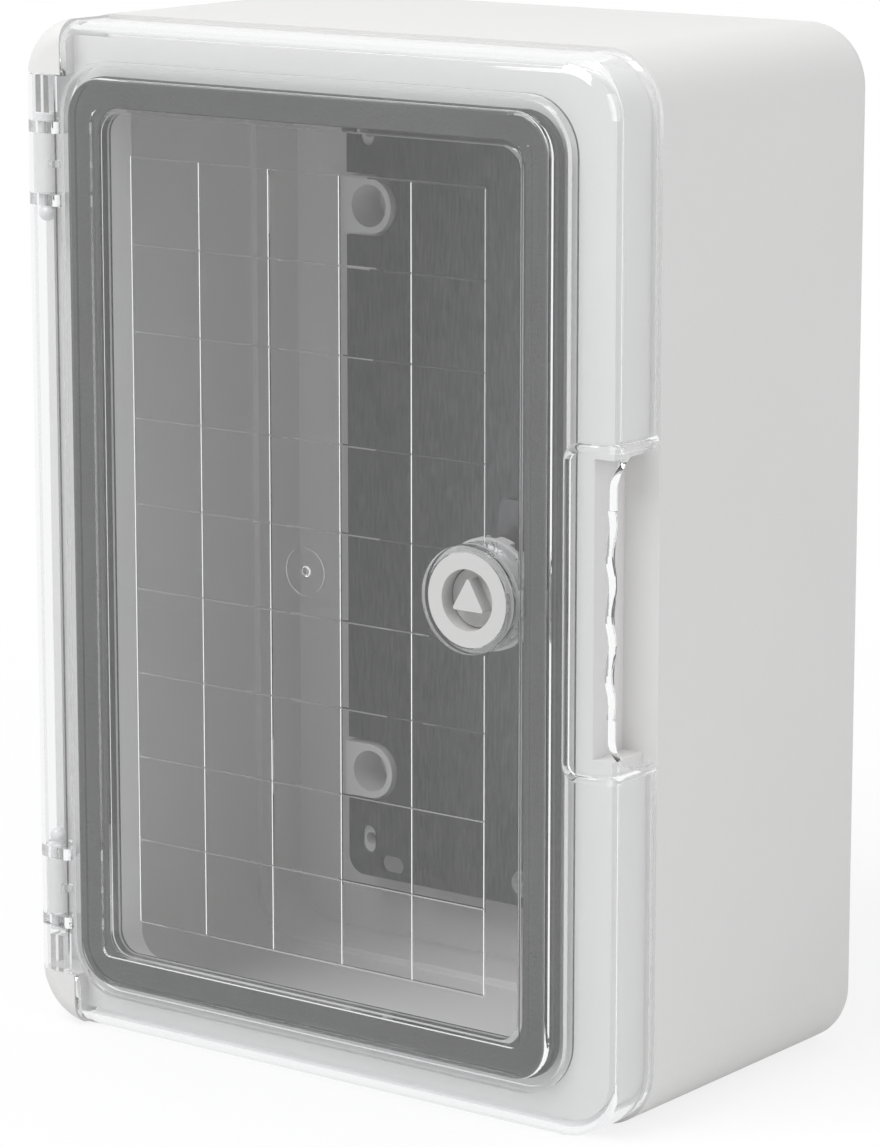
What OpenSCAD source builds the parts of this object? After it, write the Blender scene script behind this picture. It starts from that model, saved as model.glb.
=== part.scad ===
// Plastic control cabinet: a light grey moulded base, a clear hinged door and a quarter-turn lock.
// X runs from the hinge side to the lock side, Y from front to back and Z up.
// Depths are counted from the front of the lock collar, and the origin is below the middle of the box.

/* [Cabinet] */
// Width of the base
body_w = 210; // [195:1:260]
// Height of the base
body_h = 300; // [285:1:400]
// Depth from the lock collar to the back
body_d = 130; // [122:1:200]
// Corner radius of the front outline
corner_r = 18; // [17:0.5:22]
// Wall thickness of the base
wall = 3; // [2.5:0.1:3.5]
// Outer radius of the rear edges
rear_r = 5; // [4:0.5:8]
// Depth of the wider front part of the inside, behind which the walls step in
step_depth = 107; // [90:1:107]
// Width of that step in the walls
step_w = 2; // [1:0.5:3]

/* [Opening of the base] */
// Distance from the outer wall to the rim that stands inside the door's skirt
rim_inset = 5; // [4.5:0.1:6]
// Thickness of the flange, the rim and the neck
flange_t = 2.5; // [2:0.1:3]
// Side margin of the opening
neck_margin_x = 28; // [26.5:0.5:31]
// Top and bottom margin of the opening
neck_margin_z = 20.5; // [20:0.5:24]
// Corner radius of the opening
neck_r = 8; // [6:0.5:10]
// Height of the sealing lip above the flange
neck_lip = 1.3; // [1:0.1:2]
// Length of the neck behind the flange
neck_tail = 11; // [9:0.5:13]
// Width of the corner horns
horn_w = 16; // [14.5:0.1:16.5]
// Height of the corner horns
horn_h = 16; // [15:0.5:17]
// How far the horns' sides stand inside the base's
horn_step = 0.3; // [0.2:0.1:0.5]

/* [Door] */
// How far the door's outline stands inside the base's
door_step = 0.8; // [0.5:0.1:1.2]
// Thickness of the door's plate and skirt
door_t = 2.5; // [2:0.1:3]
// Depth of the door from its frame to the edge of its skirt
door_depth = 21.5; // [20:0.5:24]
// Radius of the door's front edge
edge_r = 6.5; // [5.5:0.5:7]
// Gap between the door's edges and the base
door_gap = 0.4; // [0.3:0.1:0.6]
// Height of the ridge over the frame
ridge_h = 2; // [1.5:0.1:2.4]
// Width of the ridge
ridge_w = 9; // [8:0.1:10]
// Side margin of the ridge
ridge_margin_x = 20; // [19.5:0.1:20.5]
// Top and bottom margin of the ridge
ridge_margin_z = 16; // [14.5:0.1:16.5]
// Corner radius of the ridge
ridge_r = 12; // [10:0.5:14]
// Rounding of the ridge's outer edge
ridge_edge_r = 1.5; // [0.8:0.1:1.5]
// Depth of the window below the ridge
window_drop = 1; // [0.5:0.1:1.2]
// Thickness of the window
window_t = 2.5; // [2:0.1:3]
// Spacing of the fine grid lines
grid_pitch = 25; // [22:0.1:26.5]
// Grid lines across and grid lines up
grid_count = [6, 10];
// Width of a grid line
grid_w = 0.8; // [0.5:0.1:1]
// Depth of a grid line
grid_d = 0.12; // [0.08:0.02:0.3]
// Radius of the round moulding mark in the middle of the window
gate_r = 7; // [5:0.5:8]
// Radius of the moulding point inside that mark
gate_point_r = 1.2; // [0.8:0.1:2]

/* [Finger grip] */
// Height of the grip over its ribs
grip_h = 94; // [80:1:110]
// Reach of the grip from the side of the base
grip_reach = 16.6; // [15:0.1:17]
// Width of the rib round the grip
rib_w = 3; // [2.4:0.1:3.2]
// Corner radius of the rib
rib_r = 5.5; // [4:0.5:5.5]
// Length of one wave of the scalloped edge
wave_pitch = 16.4; // [14:0.1:18]
// Depth of the scalloped edge behind the frame
scallop_v = 4; // [3.8:0.1:6]
// Gap between the rib and the notch
rib_gap = 0.4; // [0.2:0.1:1]
// Height of the waves to each side
wave_h = 0.35; // [0.2:0.05:0.6]
// Radius of the notch's corners
notch_r = 9; // [6:0.5:10]
// Depth of the finger pocket in the base's rim
pocket_d = 6.5; // [5:0.5:7]

/* [Gasket] */
// Reach of the gasket outside the ridge, at its sides and at its top and bottom
gasket_reach = [0.9, 0.2];
// Reach of the gasket inside the neck, at its sides and at its top and bottom
gasket_lap = [1.8, 3.8];
// Thickness of the gasket
gasket_t = 3.5; // [3:0.1:4]
// Gap between the gasket and the sealing lip
seal_gap = 0.2; // [0.2:0.05:0.5]
// Thickness of the low wall inside the gasket and of the drip rib outside it
keeper_t = 1.4; // [1:0.1:1.5]
// Gap between that wall and the gasket
keeper_gap = 0.1; // [0.05:0.05:0.2]
// Gap between the gasket and the drip rib outside it
drip_gap = 2.8; // [2:0.1:3]
// How much lower the wall and the rib are than the gasket
keeper_drop = 0.3; // [0.2:0.1:1]

/* [Hinge] */
// Radius of the hinge pins
pin_r = 2; // [1.8:0.1:2.2]
// Radial clearance of the pins
pin_fit = 0.06; // [0.03:0.01:0.1]
// Radius of the barrels on the base
barrel_r = 3.7; // [3.5:0.1:4]
// Length of a barrel
barrel_l = 17; // [14:0.5:20]
// Distance from the top or bottom to the middle of a barrel
hinge_margin = 42; // [40:0.5:60]
// Gap between a barrel and the door's edge that curls round it
curl_gap = 0.6; // [0.4:0.1:0.8]
// Thickness of that curl
curl_t = 1.2; // [1:0.1:1.4]
// Thickness of the knuckles on the door
knuckle_t = 3.4; // [3:0.1:4]
// End gap between knuckles and barrels
knuckle_gap = 0.3; // [0.2:0.05:0.5]
// Width of the thin strip beside the curl
strip_reach = 1.5; // [1:0.1:1.8]
// Room behind the curl in the base's hinge channel
channel_room = 3; // [2.5:0.1:4]
// How far a barrel's gusset leaves the door's edge free
gusset_lift = 2.7; // [2.5:0.1:4]
// Radius of the ball at a pin's tip
ball_r = 2.5; // [2.3:0.1:2.8]
// Radius and thickness of a pin's head
pin_head = [3, 1.6];

/* [Lock] */
// Distance from the lock's axis to the side of the base
lock_margin = 46; // [45.5:0.5:50]
// How far the collar stands in front of the ridge
lock_proud = 1.6; // [1:0.1:2.4]
// Outer radius of the collar
collar_r = 15.2; // [15:0.1:16]
// Length of the collar
collar_l = 11; // [10:0.5:13]
// Radius of the housing's flange
lock_flange_r = 13.2; // [12.5:0.1:13.4]
// Thickness of that flange
lock_flange_t = 2.4; // [2:0.1:3]
// How far the flange lies inside the collar
lock_sunk = 0.3; // [0.1:0.1:0.5]
// Radius of the housing's body
lock_body_r = 10.2; // [9.8:0.1:10.5]
// Radius of the key recess
key_r = 8.6; // [8.2:0.1:9]
// Depth of the key recess
key_d = 6; // [4:0.1:6]
// Side of the triangular insert
key_side = 10.8; // [9:0.1:12]
// How much its corners are rounded off
key_blunt = 0.6; // [0.4:0.1:1]
// Radius of the core's shaft
core_r = 4.9; // [4.9:0.1:5.2]
// Radial clearance of parts that slide or turn in each other
lock_fit = 0.06; // [0.03:0.01:0.1]
// Thickness of the seal under the flange
lock_seal_t = 0.6; // [0.4:0.1:1]
// Radius and thickness of the nut
nut = [15.8, 4];
// Radius of the O-ring's section
o_ring_r = 0.9; // [0.7:0.05:1]
// Width of the groove for the retaining clip
clip_groove = 0.8; // [0.6:0.1:1]
// Depth of that groove
clip_depth = 1; // [0.8:0.1:1.2]
// How far the clip stands out of the core
clip_out = 2; // [1.5:0.1:2.5]
// Gap beside the clip, in its groove and at the housing
clip_gap = 0.05; // [0.03:0.01:0.1]
// Length of the core between the clip's groove and the cam
clip_land = 0.8; // [0.6:0.1:1.2]
// Thickness of the core's disc behind the triangular insert
core_disc_t = 1.2; // [1:0.1:1.5]
// How far the insert lies inside the housing's face
key_sunk = 0.4; // [0.2:0.1:1]
// How much shorter the square tail is than the cam's hole
tail_short = 0.2; // [0.1:0.1:0.5]
// Thickness of the cam
cam_t = 2.5; // [2:0.1:3]
// Width of the cam
cam_w = 14; // [13:0.5:16]
// Reach of the cam behind the neck
cam_lap = 6.5; // [4:0.5:8]
// Gap between the cam and the neck
cam_gap = 0.6; // [0.4:0.1:1]
// Radius of the washer behind the cam
cam_washer_r = 6.5; // [5.5:0.1:7]
// Thickness of that washer
cam_washer_t = 1; // [0.8:0.1:1.5]
// Depth of the screw hole in the core
cam_screw_l = 8; // [6:0.5:9]
// Side of the core's square tail
tail_side = 6.6; // [6:0.1:6.8]

/* [Mounting plate and fixings] */
// Width of the mounting plate
plate_w = 137; // [132:1:146]
// Height of the mounting plate
plate_h = 244; // [238:1:250]
// Thickness of the mounting plate
plate_t = 1.5; // [1:0.1:2]
// Corner radius of the mounting plate
plate_r = 6; // [3:0.5:8]
// Height of the bosses that carry the plate
boss_h = 14; // [12:0.5:16]
// Radius of the bosses
boss_r = 4.5; // [4:0.1:5]
// Distance from the plate's top or bottom edge to its screws
screw_edge = 8; // [7:0.5:10]
// Radius of the screws
screw_r = 1.9; // [1.6:0.1:2.2]
// Radial clearance of screws in their holes
screw_fit = 0.05; // [0.03:0.01:0.1]
// Length of a screw below its head
screw_l = 10; // [8:0.5:12]
// Radius of a screw's head
head_r = 4; // [3.4:0.1:4.4]
// Height of a screw's head
head_h = 2.4; // [2:0.1:3]
// Width and length of the plate's corner slots
slot = [5.5, 8.8];
// Distances from the plate's edges to the upright slots
slot_up_edge = [7.6, 11.7];
// Distances from the plate's edges to the slots that lie across
slot_across_edge = [16.8, 4.8];
// Wall-fixing holes, distance across
fix_w = 118; // [110:1:124]
// Wall-fixing holes, distance up
fix_h = 176; // [160:1:200]
// Radius of the wall-fixing holes
fix_r = 3.25; // [2.5:0.05:3.5]
// Radius of the recess for a screw's head in a lug
fix_head_r = 6.5; // [5.5:0.1:6.5]
// Radius of a lug
lug_r = 8.5; // [8:0.1:9]
// Height of a lug
lug_h = 17; // [15:0.5:19]
// Gap between a lug and its notch in the plate
lug_gap = 1; // [0.5:0.1:1.5]

/* [Hidden] */
$fn = 64;
// Extra length of a cut past the face that it opens
over = 1;
mid_z = body_h / 2;
half_w = body_w / 2;

// Depths of the door's faces
v_ridge = lock_proud;
v_frame = v_ridge + ridge_h;
v_plate_back = v_frame + door_t;
v_window = v_ridge + window_drop;
v_window_back = v_window + window_t;
v_skirt_back = v_frame + door_depth;
v_seal = v_plate_back + gasket_t;

// Depths of the base's faces
v_neck = v_seal + seal_gap;
v_flange = v_neck + neck_lip;
v_neck_back = v_flange + neck_tail;
v_shoulder = v_skirt_back + door_gap;
v_rim_back = v_shoulder + wall;
v_back_inside = body_d - wall;

// Outlines: half width, half height and corner radius
base_size = [half_w, mid_z, corner_r];
rim_size = inset(base_size, rim_inset);
door_size = inset(base_size, door_step);
horn_size = inset(base_size, horn_step);
ridge_size = [half_w - ridge_margin_x, mid_z - ridge_margin_z, ridge_r];
neck_size = [half_w - neck_margin_x, mid_z - neck_margin_z, neck_r];
neck_outer = inset(neck_size, -flange_t);
rim_inner = inset(rim_size, flange_t);
gasket_inner = [neck_size[0] - gasket_lap[0], neck_size[1] - gasket_lap[1], neck_r];
gasket_outer = [ridge_size[0] + gasket_reach[0], ridge_size[1] + gasket_reach[1], ridge_r];
keeper_inner = inset(gasket_inner, keeper_gap + keeper_t);

// Hinge axis, and the channel in the base that the door's edge turns in
knuckle_r = barrel_r + curl_gap + curl_t;
x_hinge = knuckle_r - door_size[0];
v_hinge = v_frame + knuckle_r;
strip_w = knuckle_r + strip_reach;
channel_x = horn_w + door_gap - half_w;
channel_v = v_hinge + knuckle_r + channel_room;
channel_back = channel_v + flange_t;
channel_h = body_h - 2 * horn_h;
wall_front = v_hinge + knuckle_r + door_gap * 2;
horn_corner = norm([horn_w - half_w - x_hinge, knuckle_r]);
pin_reach = barrel_l / 2 + knuckle_gap + knuckle_t;

// Lock: places along its axis
x_lock = half_w - lock_margin;
v_flange_seat = lock_sunk + lock_flange_t + lock_seal_t;
v_key_floor = lock_sunk + key_d;
v_cam = v_neck_back + cam_gap;
v_clip = v_cam - clip_groove - clip_land;
v_housing_back = v_clip - clip_gap;
v_tail_end = v_cam + cam_t - tail_short;
v_o_ring = v_flange_seat + collar_l / 2;
cam_l = neck_margin_x < lock_margin ? lock_margin - neck_margin_x + cam_lap : cam_lap;

// Mounting plate: places
v_plate_rear = v_back_inside - boss_h;
v_plate = v_plate_rear - plate_t;
screw_z = plate_h / 2 - screw_edge;
slot_up = [plate_w / 2 - slot_up_edge[0], plate_h / 2 - slot_up_edge[1]];
slot_across = [plate_w / 2 - slot_across_edge[0], plate_h / 2 - slot_across_edge[1]];

function inset(size, d) = [size[0] - d, size[1] - d, size[2] - d];
function y_of(v) = v - body_d / 2;

// A flat outline in X and Z, made solid between two depths
module slab(v0, v1) {
    translate([0, y_of(v1), 0])
        rotate([90, 0, 0])
            linear_extrude(v1 - v0)
                children();
}

// Rounded rectangle about the middle of the cabinet's front
module rounded(size) {
    r = size[2];
    translate([0, mid_z]) {
        square([2 * size[0], 2 * (size[1] - r)], center = true);
        square([2 * (size[0] - r), 2 * size[1]], center = true);
        for (x = [-1, 1], z = [-1, 1])
            translate([x * (size[0] - r), z * (size[1] - r)])
                circle(r);
    }
}

// Rounded frame between two outlines
module frame(outer, inner, v0, v1) {
    slab(v0, v1)
        difference() {
            rounded(outer);
            rounded(inner);
        }
}

// A section of X (outwards) and depth, swept along the sides and corners of a rounded rectangle.
// Sides count from the right one, and corners from the one at the lower right.
module swept(size, sides, corners) {
    r = size[2];
    for (k = [0:3]) {
        reach = k % 2 == 0 ? size[0] : size[1];
        run = 2 * (k % 2 == 0 ? size[1] - r : size[0] - r);
        translate([0, y_of(0), mid_z])
            rotate([0, -90 * k, 0]) {
                if (sides[k])
                    translate([reach, 0, -run / 2])
                        linear_extrude(run)
                            children();
                if (corners[k])
                    translate([reach - r, 0, -run / 2])
                        rotate([-90, 0, 0])
                            rotate_extrude(angle = 90)
                                translate([r, 0])
                                    children();
            }
    }
}

// Quarter of a ring that rounds an edge whose outer faces lie at x = 0 and depth v
module edge_ring(r, thickness, v, front) {
    way = front ? 1 : -1;
    translate([-r, v + way * r])
        intersection() {
            difference() {
                circle(r);
                circle(r - thickness);
            }
            translate([0, front ? -r : 0])
                square(r);
        }
}

// Upright rod along Z, at a place in X and depth
module upright(x, v, r, z0, z1) {
    translate([x, y_of(v), z0])
        cylinder(r = r, h = z1 - z0);
}

// Section in X and depth, made solid between two heights
module bar(z0, z1) {
    translate([0, y_of(0), z0])
        linear_extrude(z1 - z0)
            children();
}

// Runs for the lower hinge, and mirrored for the upper one
module both_ends() {
    children();
    translate([0, 0, body_h])
        mirror([0, 0, 1])
            children();
}

// Round step on the lock's axis
module lock_disc(r, v0, v1) {
    slab(v0, v1)
        translate([x_lock, mid_z])
            circle(r);
}

module base_shell() {
    color("gainsboro")
        difference() {
            union() {
                difference() {
                    base_outside();
                    base_inside();
                    base_front_cuts();
                }
                strike();
                both_ends()
                    hinge_barrel();
                base_back();
            }
            base_holes();
        }
}

// Outer shape of the base as if solid: tub with rounded rear edges, rim, sealing lip, horns and hinge side
module base_outside() {
    slab(v_shoulder, body_d - rear_r)
        rounded(base_size);
    slab(body_d - rear_r, body_d)
        rounded(inset(base_size, rear_r));
    swept(base_size, [1, 1, 1, 1], [1, 1, 1, 1])
        edge_ring(rear_r, rear_r, body_d, false);
    slab(v_flange, v_shoulder)
        rounded(rim_size);
    slab(v_neck, v_flange)
        rounded(neck_outer);
    slab(wall_front, v_shoulder)
        translate([-half_w, horn_h])
            square([channel_x + half_w, channel_h]);
    both_ends()
        horn();
}

// Hollow of the tub, narrower behind the step, and the hollow under the flange
module base_inside() {
    slab(v_rim_back, step_depth)
        rounded(inset(base_size, wall));
    slab(step_depth, v_back_inside)
        rounded(inset(base_size, wall + step_w));
    slab(v_flange + flange_t, channel_back)
        difference() {
            rounded(rim_inner);
            rounded(neck_outer);
            translate([-half_w, 0])
                square([channel_x + flange_t + half_w, body_h]);
            pocket_outline(flange_t);
        }
    slab(channel_back, v_neck_back)
        difference() {
            rounded(rim_inner);
            rounded(neck_outer);
            pocket_outline(flange_t);
        }
    slab(v_neck_back, v_rim_back)
        difference() {
            rounded(rim_inner);
            pocket_outline(flange_t);
        }
    slab(channel_back, v_rim_back)
        translate([wall - half_w, horn_h])
            square([channel_x + flange_t + half_w - wall, channel_h]);
}

// Opening, hinge channel, finger pocket and the hollows of the horns
module base_front_cuts() {
    slab(0, v_neck_back)
        rounded(neck_size);
    slab(0, channel_v)
        translate([wall - half_w, horn_h])
            square([channel_x + half_w - wall, channel_h]);
    slab(0, v_shoulder)
        pocket_outline(0);
    both_ends()
        slab(v_frame + wall, v_rim_back)
            intersection() {
                rounded(inset(base_size, wall));
                translate([-half_w, 0])
                    square([horn_w - wall, horn_h - wall]);
            }
}

// Corner horn beside the door's lower hinge corner, with the door's rounded front edge
module horn() {
    intersection() {
        union() {
            swept(horn_size, [0, 0, 1, 1], [0, 0, 0, 1]) {
                union() {
                    edge_ring(edge_r, edge_r, v_frame, true);
                    translate([-edge_r, v_frame + edge_r])
                        square([edge_r, v_rim_back - v_frame - edge_r]);
                }
            }
            slab(v_frame, v_rim_back)
                rounded(inset(horn_size, edge_r));
        }
        slab(0, v_shoulder + over)
            translate([-half_w, 0])
                square([horn_w, horn_h]);
    }
}

// Lower hinge barrel and the gusset that carries it from the channel
module hinge_barrel() {
    z0 = hinge_margin - barrel_l / 2;
    reach = channel_x - x_hinge;
    drop = channel_v - v_hinge;
    difference() {
        union() {
            upright(x_hinge, v_hinge, barrel_r, z0, z0 + barrel_l);
            bar(z0, z0 + barrel_l)
                translate([x_hinge, v_hinge])
                    polygon([
                        [0, 0],
                        [reach, gusset_lift],
                        [reach + over, drop + over],
                        [drop / 2, drop + over]]);
        }
        upright(x_hinge, v_hinge, pin_r + pin_fit, z0 - over, z0 + barrel_l + over);
    }
}

// Thicker stretch of the neck that the cam hooks behind
module strike() {
    slab(v_neck_back - 2 * flange_t, v_neck_back)
        translate([neck_size[0] + flange_t / 2, mid_z - cam_w])
            square([flange_t / 2 + cam_lap, 2 * cam_w]);
}

// Finger pocket in the rim behind the door's grip, or the block round it
module pocket_outline(skin) {
    h = grip_h - 2 * rib_w - 2 * flange_t + 2 * skin;
    translate([rim_size[0] - pocket_d - skin, mid_z - h / 2])
        square([pocket_d + skin + over, h]);
}

// Lugs and bosses on the back wall
module base_back() {
    for (x = [-1, 1], z = [-1, 1]) {
        slab(v_back_inside - lug_h, v_back_inside + over)
            lug_outline(x, z, lug_r);
        slab(v_plate_rear, v_back_inside + over)
            translate([x * slot_up[0], mid_z + z * slot_up[1]])
                circle(boss_r);
    }
    for (z = [-1, 1])
        slab(v_plate_rear, v_back_inside + over)
            translate([0, mid_z + z * screw_z])
                circle(boss_r);
}

// Round lug with a flat side towards the side wall
module lug_outline(x, z, r) {
    flat = plate_w / 2 - fix_w / 2;
    translate([x * fix_w / 2, mid_z + z * fix_h / 2]) {
        circle(r);
        translate([x > 0 ? 0 : -flat, -r])
            square([flat, 2 * r]);
    }
}

module base_holes() {
    for (x = [-1, 1], z = [-1, 1]) {
        slab(0, body_d + over)
            translate([x * fix_w / 2, mid_z + z * fix_h / 2])
                circle(fix_r);
        slab(0, v_back_inside - wall)
            translate([x * fix_w / 2, mid_z + z * fix_h / 2])
                circle(fix_head_r);
        slab(0, v_back_inside)
            translate([x * slot_up[0], mid_z + z * slot_up[1]])
                circle(screw_r);
    }
    for (z = [-1, 1])
        slab(0, v_back_inside)
            translate([0, mid_z + z * screw_z])
                circle(screw_r + screw_fit);
}

module mounting_plate() {
    color("darkgray")
        slab(v_plate, v_plate_rear)
            difference() {
                rounded([plate_w / 2, plate_h / 2, plate_r]);
                for (x = [-1, 1], z = [-1, 1]) {
                    lug_notch(x, z);
                    translate([x * slot_up[0], mid_z + z * slot_up[1]])
                        slot_outline(slot[0], slot[1]);
                    translate([x * slot_across[0], mid_z + z * slot_across[1]])
                        rotate(90)
                            slot_outline(slot[0], slot[1]);
                }
                for (z = [-1, 1])
                    translate([0, mid_z + z * screw_z])
                        circle(screw_r + screw_fit);
            }
}

// Notch in the plate's long edge round a lug
module lug_notch(x, z) {
    r = lug_r + lug_gap;
    flat = (plate_w - fix_w) / 2 + over;
    translate([x * fix_w / 2, mid_z + z * fix_h / 2]) {
        circle(r);
        translate([x > 0 ? 0 : -flat, -r])
            square([flat, 2 * r]);
    }
}

module slot_outline(w, l) {
    square([w, l - w], center = true);
    for (z = [-1, 1])
        translate([0, z * (l - w) / 2])
            circle(w / 2);
}

module plate_screws() {
    color("silver")
        for (z = [-1, 1])
            difference() {
                union() {
                    slab(v_plate - head_h, v_plate)
                        translate([0, mid_z + z * screw_z])
                            circle(head_r);
                    slab(v_plate - head_h / 2, v_plate + screw_l)
                        translate([0, mid_z + z * screw_z])
                            circle(screw_r);
                }
                cross_recess([0, mid_z + z * screw_z], v_plate - head_h, head_r, head_h / 2);
            }
}

// Cross recess in the face of a screw's head
module cross_recess(at, v_face, r, depth) {
    slab(v_face - over, v_face + depth)
        translate(at) {
            square([1.2 * r, r / 4], center = true);
            square([r / 4, 1.2 * r], center = true);
        }
}

module door_panel() {
    color("aliceblue", 0.5)
        difference() {
            union() {
                door_edges();
                door_plate();
                door_ridge();
                gasket_keepers();
                lock_collar();
                grip_ribs();
                hinge_edge();
            }
            window_pocket();
            window_grid();
            lock_bore();
            grip_notch();
        }
}

// Skirt and rounded front edge on the three free sides
module door_edges() {
    difference() {
        swept(door_size, [1, 1, 0, 1], [1, 1, 1, 1]) {
            union() {
                edge_ring(edge_r, door_t, v_frame, true);
                translate([-door_t, v_frame + edge_r])
                    square([door_t, door_depth - edge_r]);
            }
        }
        slab(0, v_skirt_back + over)
            translate([-half_w, 0])
                square([horn_w + door_gap, body_h]);
        horn_sweep();
    }
}

// Room that the horns need when the door swings past them
module horn_sweep() {
    both_ends()
        upright(x_hinge, v_hinge, horn_corner + door_gap, -over, horn_h + door_gap);
}

// Flat plate inside the rounded edges, cut back at the hinge strip and at the horns
module door_plate() {
    difference() {
        slab(v_frame, v_plate_back)
            rounded(inset(door_size, edge_r));
        slab(0, v_plate_back + over)
            translate([-half_w, 0])
                square([half_w + x_hinge + strip_w, body_h]);
        both_ends()
            slab(0, v_plate_back + over)
                translate([-half_w, 0])
                    square([horn_w + door_gap, horn_h + door_gap]);
        horn_sweep();
    }
}

// Raised ridge with a rounded outer edge, and the frame of plate behind it
module door_ridge() {
    slab(v_ridge, v_plate_back)
        rounded(inset(ridge_size, ridge_edge_r));
    swept(ridge_size, [1, 1, 1, 1], [1, 1, 1, 1]) {
        union() {
            edge_ring(ridge_edge_r, ridge_edge_r, v_ridge, true);
            translate([-ridge_edge_r, v_ridge + ridge_edge_r])
                square([ridge_edge_r, v_plate_back - v_ridge - ridge_edge_r]);
        }
    }
}

// Drip rib outside the gasket and the low wall inside it, on the door's back
module gasket_keepers() {
    v_end = v_seal - keeper_drop;
    frame(inset(gasket_outer, -drip_gap - keeper_t), inset(gasket_outer, -drip_gap), v_plate_back, v_end);
    frame(inset(gasket_inner, keeper_gap), keeper_inner, v_window_back, v_end);
}

// Window, thinner than the ridge, sunk from the front and the back
module window_pocket() {
    slab(0, v_window)
        difference() {
            rounded(inset(ridge_size, ridge_w));
            translate([x_lock, mid_z])
                circle(collar_r);
        }
    slab(v_window_back, v_plate_back + over)
        difference() {
            rounded(keeper_inner);
            translate([x_lock, mid_z])
                circle(collar_r);
        }
}

// Fine moulded lines on the back of the window, and the round moulding mark
module window_grid() {
    span = [grid_pitch * (grid_count[0] - 1), grid_pitch * (grid_count[1] - 1)];
    difference() {
        union() {
            for (i = [0:grid_count[0] - 1])
                translate([i * grid_pitch - span[0] / 2, 0, mid_z])
                    grid_groove(span[1]);
            for (i = [0:grid_count[1] - 1])
                translate([0, 0, mid_z + i * grid_pitch - span[1] / 2])
                    rotate([0, 90, 0])
                        grid_groove(span[0]);
        }
        lock_disc(collar_r + grid_w, v_ridge, v_plate_back + over);
    }
    slab(v_window_back - grid_d, v_window_back + over)
        translate([0, mid_z]) {
            difference() {
                circle(gate_r);
                circle(gate_r - grid_w / 2);
            }
            circle(gate_point_r);
        }
}

// Groove of one grid line in the window's back
module grid_groove(length) {
    translate([0, y_of(v_window_back), 0])
        linear_extrude(length, center = true)
            polygon([
                [-grid_w / 2, over],
                [-grid_w / 2, 0],
                [0, -grid_d],
                [grid_w / 2, 0],
                [grid_w / 2, over]]);
}

// Round collar that holds the lock
module lock_collar() {
    lock_disc(collar_r, 0, collar_l);
}

module lock_bore() {
    lock_disc(lock_body_r + 2 * lock_fit, -over, collar_l + over);
    lock_disc(lock_flange_r + 5 * lock_fit, -over, v_flange_seat);
}

// Rib round the finger grip, on the frame and over the edge to the back of the skirt
module grip_ribs() {
    r = rib_w / 2;
    sink = r - door_step;
    h = grip_h / 2;
    x_rib = half_w - grip_reach;
    x_end = half_w - door_step - edge_r;
    x_mid = (x_end + x_rib + rib_r) / 2;
    translate([x_mid, 0, 0])
        swept([x_mid - x_rib, h, rib_r], [0, 1, 1, 1], [0, 0, 1, 1])
            translate([-r, v_frame + sink])
                circle(r);
    for (z = [r - h, h - r])
        translate([x_end, y_of(v_frame + edge_r), mid_z + z]) {
            rotate([0, 0, -90])
                rotate_extrude(angle = 90)
                    translate([edge_r - sink, 0])
                        circle(r);
            translate([edge_r - sink, 0, 0])
                rotate([-90, 0, 0])
                    cylinder(r = r, h = door_depth - edge_r);
        }
}

// Depth of the scalloped edge after a number of waves
function wave_at(front, count) = front - wave_h + wave_h * sin(360 * count);

// Notch in the skirt behind the grip, with a scalloped front edge
module grip_notch() {
    h = grip_h / 2 - rib_w - rib_gap;
    front = v_frame + scallop_v;
    flat = h - notch_r;
    steps = 8;
    waves = floor(2 * flat / wave_pitch) - 0.5;
    wave_end = waves * wave_pitch / 2;
    points = [for (i = [0:waves * steps]) i / steps * wave_pitch - wave_end];
    translate([half_w - door_step - edge_r, y_of(0), mid_z])
        rotate([90, 0, 90])
            linear_extrude(edge_r + 2 * door_step) {
                translate([front + notch_r, -h])
                    square([door_depth, 2 * h]);
                translate([front, -flat])
                    square([door_depth, 2 * flat]);
                for (z = [-flat, flat])
                    translate([front + notch_r, z])
                        circle(notch_r);
                polygon(concat(
                    [for (z = points) [wave_at(front, (z + wave_end) / wave_pitch), z]],
                    [[front + notch_r, wave_end], [front + notch_r, -wave_end]]));
            }
}

// Hinge side of the door between the horns: the thin strip, its curl, knuckles and posts
module hinge_edge() {
    z0 = horn_h + door_gap;
    z1 = body_h - horn_h - door_gap;
    bar(z0, z1)
        translate([x_hinge, 0]) {
            translate([0, v_frame])
                square([strip_w, curl_t]);
            translate([strip_w, v_frame])
                square([over, door_t]);
            translate([0, v_hinge])
                intersection() {
                    difference() {
                        circle(knuckle_r);
                        circle(knuckle_r - curl_t);
                    }
                    translate([-knuckle_r, -knuckle_r])
                        square(knuckle_r);
                }
        }
    both_ends()
        hinge_knuckles();
}

// Two knuckles beside a barrel, a stiffening rib over its middle and two posts towards the horn
module hinge_knuckles() {
    inner = hinge_margin + barrel_l / 2 + knuckle_gap;
    outer = hinge_margin - barrel_l / 2 - knuckle_gap - knuckle_t;
    post_w = 2;
    for (z = [inner, outer])
        difference() {
            bar(z, z + knuckle_t)
                translate([x_hinge, v_hinge]) {
                    circle(knuckle_r);
                    translate([0, -knuckle_r])
                        square([strip_w + over, knuckle_r]);
                }
            upright(x_hinge, v_hinge, pin_r + pin_fit / 2, z - over, z + knuckle_t + over);
        }
    bar(hinge_margin - post_w / 2, hinge_margin + post_w / 2)
        translate([x_hinge + barrel_r + curl_gap, v_frame])
            square([strip_w + over - barrel_r - curl_gap, knuckle_r - 1]);
    bar(horn_h + door_gap, outer - pin_head[1] - over)
        translate([x_hinge, v_frame])
            for (x = [0, strip_w - 2 * post_w])
                translate([x, 0])
                    square([post_w, knuckle_r]);
}

module door_gasket() {
    color("dimgray")
        frame(gasket_outer, gasket_inner, v_plate_back, v_seal);
}

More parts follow.
